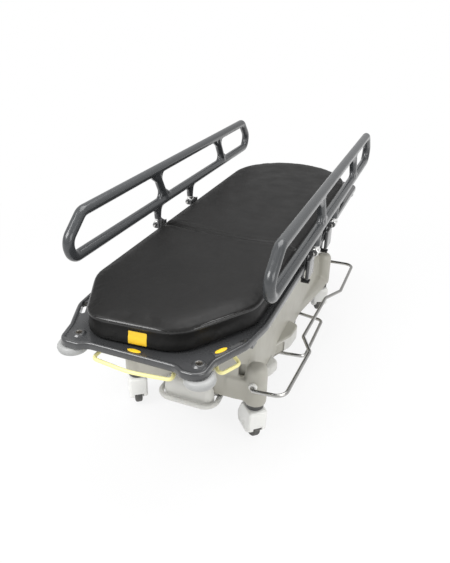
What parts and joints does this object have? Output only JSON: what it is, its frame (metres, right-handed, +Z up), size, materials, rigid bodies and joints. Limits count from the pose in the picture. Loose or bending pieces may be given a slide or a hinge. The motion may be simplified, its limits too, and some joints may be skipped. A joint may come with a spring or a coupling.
{
  "type": "emergency stretcher trolley",
  "caption": "Wheeled patient trolley: padded deck with raising backrest, fold-down tube side rails, bumper rollers, pump-lifted tilting platform, brake bars, foot pedals and castors.",
  "frame": {"origin": "on the floor, under the middle of the trolley's bounding box", "axes": "+Z up, +Y from the foot end to the head end, +X to the right side seen from the foot end"},
  "size_m": [0.876, 2.1155, 0.9606],
  "materials": {
    "cream_moulding": "off-white satin moulded cover",
    "white_moulding": "white satin moulded hood",
    "pale_grey_moulding": "light grey satin moulding",
    "painted_steel": "dark grey powder coat",
    "chrome": "bright plated rod",
    "grey_tyre": "dark grey tread",
    "dark_collar": "dark satin",
    "dark_grey_moulding": "dark grey semi-gloss moulding",
    "grey_rail": "dark grey semi-gloss sleeve",
    "panel_board": "dark matt board",
    "black_vinyl": "near-black coated fabric with a soft sheen",
    "pale_yellow_rod": "pale yellow coating",
    "yellow_inlay": "plain yellow film",
    "black_latch": "black satin"
  },
  "bodies": {
    "base": {"base_cover": "cream_moulding", "base_chassis": "painted_steel", "column_tube_foot": "painted_steel", "column_tube_head": "painted_steel", "pump_pod_right": "pale_grey_moulding", "pump_pod_left": "pale_grey_moulding", "pump_pod_foot": "pale_grey_moulding", "castor_collar_fr": "dark_collar", "castor_collar_fl": "dark_collar", "castor_collar_rr": "dark_collar", "castor_collar_rl": "dark_collar"},
    "lift": {"column_ram_foot": "chrome", "column_ram_head": "chrome", "lift_head": "painted_steel"},
    "platform": {"under_frame": "painted_steel", "deck": "dark_grey_moulding", "leg_panel": "panel_board", "backrest_pin_right": "chrome", "backrest_pin_left": "chrome", "mattress_foot": "black_vinyl", "mattress_patch": "yellow_inlay", "deck_oval_front": "yellow_inlay", "deck_oval_side": "yellow_inlay", "rail_bracket_right_foot": "dark_grey_moulding", "rail_bracket_right_head": "dark_grey_moulding", "rail_bracket_left_foot": "dark_grey_moulding", "rail_bracket_left_head": "dark_grey_moulding", "rail_pin_right_foot": "chrome", "rail_pin_right_head": "chrome", "rail_pin_left_foot": "chrome", "rail_pin_left_head": "chrome"},
    "backrest": {"backrest_panel": "panel_board", "backrest_quadrant": "painted_steel", "mattress_back": "black_vinyl"},
    "swivel_fr": {"castor_fork_fr": "white_moulding"},
    "wheel_fr": {"castor_wheel_fr": "grey_tyre"},
    "swivel_fl": {"castor_fork_fl": "white_moulding"},
    "wheel_fl": {"castor_wheel_fl": "grey_tyre"},
    "swivel_rr": {"castor_fork_rr": "white_moulding"},
    "wheel_rr": {"castor_wheel_rr": "grey_tyre"},
    "swivel_rl": {"castor_fork_rl": "white_moulding"},
    "wheel_rl": {"castor_wheel_rl": "grey_tyre"},
    "rail_right": {"rail_right": "grey_rail"},
    "latch_right": {"rail_latch_right": "black_latch"},
    "pedal_right": {"pump_pedal_right": "chrome"},
    "brake_right": {"brake_bar_right": "chrome"},
    "release_right": {"release_bar_right": "pale_yellow_rod"},
    "rail_left": {"rail_left": "grey_rail"},
    "latch_left": {"rail_latch_left": "black_latch"},
    "pedal_left": {"pump_pedal_left": "chrome"},
    "brake_left": {"brake_bar_left": "chrome"},
    "release_left": {"release_bar_left": "pale_yellow_rod"},
    "pedal_foot": {"pump_pedal_foot": "pale_grey_moulding"},
    "release_foot": {"release_bar_foot": "pale_yellow_rod"},
    "roller_foot_right": {"bumper_roller_foot_right": "pale_grey_moulding"},
    "roller_foot_left": {"bumper_roller_foot_left": "pale_grey_moulding"},
    "roller_head_right": {"bumper_roller_head_right": "pale_grey_moulding"},
    "roller_head_left": {"bumper_roller_head_left": "pale_grey_moulding"}
  },
  "joints": [
    {"name": "castor_swivel_fr", "type": "hinge", "parent": "base", "child": "swivel_fr", "pos_m": [0.272, -0.565, 0.158], "axis": [0, 0, 1], "continuous": true},
    {"name": "castor_roll_fr", "type": "hinge", "parent": "swivel_fr", "child": "wheel_fr", "pos_m": [0.25728, -0.54865, 0.0625], "axis": [-0.7431, -0.6691, 0], "continuous": true},
    {"name": "castor_swivel_fl", "type": "hinge", "parent": "base", "child": "swivel_fl", "pos_m": [-0.272, -0.565, 0.158], "axis": [0, 0, 1], "continuous": true},
    {"name": "castor_roll_fl", "type": "hinge", "parent": "swivel_fl", "child": "wheel_fl", "pos_m": [-0.28524, -0.54743, 0.0625], "axis": [-0.7986, -0.6018, 0], "continuous": true},
    {"name": "castor_swivel_rr", "type": "hinge", "parent": "base", "child": "swivel_rr", "pos_m": [0.272, 0.565, 0.158], "axis": [0, 0, 1], "continuous": true},
    {"name": "castor_roll_rr", "type": "hinge", "parent": "swivel_rr", "child": "wheel_rr", "pos_m": [0.26236, 0.58477, 0.0625], "axis": [-0.8988, -0.4384, 0], "continuous": true},
    {"name": "castor_swivel_rl", "type": "hinge", "parent": "base", "child": "swivel_rl", "pos_m": [-0.272, 0.565, 0.158], "axis": [0, 0, 1], "continuous": true},
    {"name": "castor_roll_rl", "type": "hinge", "parent": "swivel_rl", "child": "wheel_rl", "pos_m": [-0.28233, 0.58442, 0.0625], "axis": [-0.8829, -0.4695, 0], "continuous": true},
    {"name": "lift_rise", "type": "slide", "parent": "base", "child": "lift", "axis": [0, 0, 1], "range_m": [0, 0.3]},
    {"name": "platform_tilt", "type": "hinge", "parent": "lift", "child": "platform", "pos_m": [0, 0, 0.5453], "axis": [1, 0, 0], "range_deg": [-12, 12]},
    {"name": "backrest_raise", "type": "hinge", "parent": "platform", "child": "backrest", "pos_m": [0, -0.18, 0.7189], "axis": [1, 0, 0], "range_deg": [0, 75]},
    {"name": "rail_fold_right", "type": "hinge", "parent": "platform", "child": "rail_right", "pos_m": [0.37, 0, 0.6906], "axis": [0, 1, 0], "range_deg": [0, 160]},
    {"name": "rail_latch_right", "type": "hinge", "parent": "platform", "child": "latch_right", "pos_m": [0.325, 0, 0.5916], "axis": [0, -1, 0], "range_deg": [0, 12], "stiffness_Nm_per_rad": 1, "springref_deg": -17.19},
    {"name": "pump_pedal_right", "type": "hinge", "parent": "base", "child": "pedal_right", "pos_m": [0.245, 0, 0.1748], "axis": [0, 1, 0], "range_deg": [0, 18], "stiffness_Nm_per_rad": 12, "springref_deg": -22.92},
    {"name": "brake_right", "type": "hinge", "parent": "base", "child": "brake_right", "pos_m": [0.275, 0, 0.2863], "axis": [0, 1, 0], "range_deg": [-12, 12]},
    {"name": "release_right", "type": "hinge", "parent": "platform", "child": "release_right", "pos_m": [0.245, -0.8665, 0.5956], "axis": [-0.5123, -0.8588, 0], "range_deg": [0, 16], "stiffness_Nm_per_rad": 1, "springref_deg": -17.19},
    {"name": "rail_fold_left", "type": "hinge", "parent": "platform", "child": "rail_left", "pos_m": [-0.37, 0, 0.6906], "axis": [0, -1, 0], "range_deg": [0, 160]},
    {"name": "rail_latch_left", "type": "hinge", "parent": "platform", "child": "latch_left", "pos_m": [-0.325, 0, 0.5916], "axis": [0, 1, 0], "range_deg": [0, 12], "stiffness_Nm_per_rad": 1, "springref_deg": -17.19},
    {"name": "pump_pedal_left", "type": "hinge", "parent": "base", "child": "pedal_left", "pos_m": [-0.245, 0, 0.1748], "axis": [0, -1, 0], "range_deg": [0, 18], "stiffness_Nm_per_rad": 12, "springref_deg": -22.92},
    {"name": "brake_left", "type": "hinge", "parent": "base", "child": "brake_left", "pos_m": [-0.275, 0, 0.2863], "axis": [0, 1, 0], "range_deg": [-12, 12]},
    {"name": "release_left", "type": "hinge", "parent": "platform", "child": "release_left", "pos_m": [-0.245, -0.8665, 0.5956], "axis": [-0.5123, 0.8588, 0], "range_deg": [0, 16], "stiffness_Nm_per_rad": 1, "springref_deg": -17.19},
    {"name": "pump_pedal_foot", "type": "hinge", "parent": "base", "child": "pedal_foot", "pos_m": [0, -0.56, 0.1603], "axis": [1, 0, 0], "range_deg": [0, 18], "stiffness_Nm_per_rad": 12, "springref_deg": -22.92},
    {"name": "release_foot", "type": "hinge", "parent": "platform", "child": "release_foot", "pos_m": [0, -0.975, 0.5956], "axis": [-1, 0, 0], "range_deg": [0, 16], "stiffness_Nm_per_rad": 1, "springref_deg": -17.19},
    {"name": "bumper_foot_right", "type": "hinge", "parent": "platform", "child": "roller_foot_right", "pos_m": [0.23, -1.011, 0.5811], "axis": [0, 0, 1], "continuous": true},
    {"name": "bumper_foot_left", "type": "hinge", "parent": "platform", "child": "roller_foot_left", "pos_m": [-0.23, -1.011, 0.5811], "axis": [0, 0, 1], "continuous": true},
    {"name": "bumper_head_right", "type": "hinge", "parent": "platform", "child": "roller_head_right", "pos_m": [0.295, 0.935, 0.5811], "axis": [0, 0, 1], "continuous": true},
    {"name": "bumper_head_left", "type": "hinge", "parent": "platform", "child": "roller_head_left", "pos_m": [-0.295, 0.935, 0.5811], "axis": [0, 0, 1], "continuous": true}
  ],
  "couplings": [
    {"joint": "brake_left", "follows": "brake_right", "ratio": -1}
  ]
}
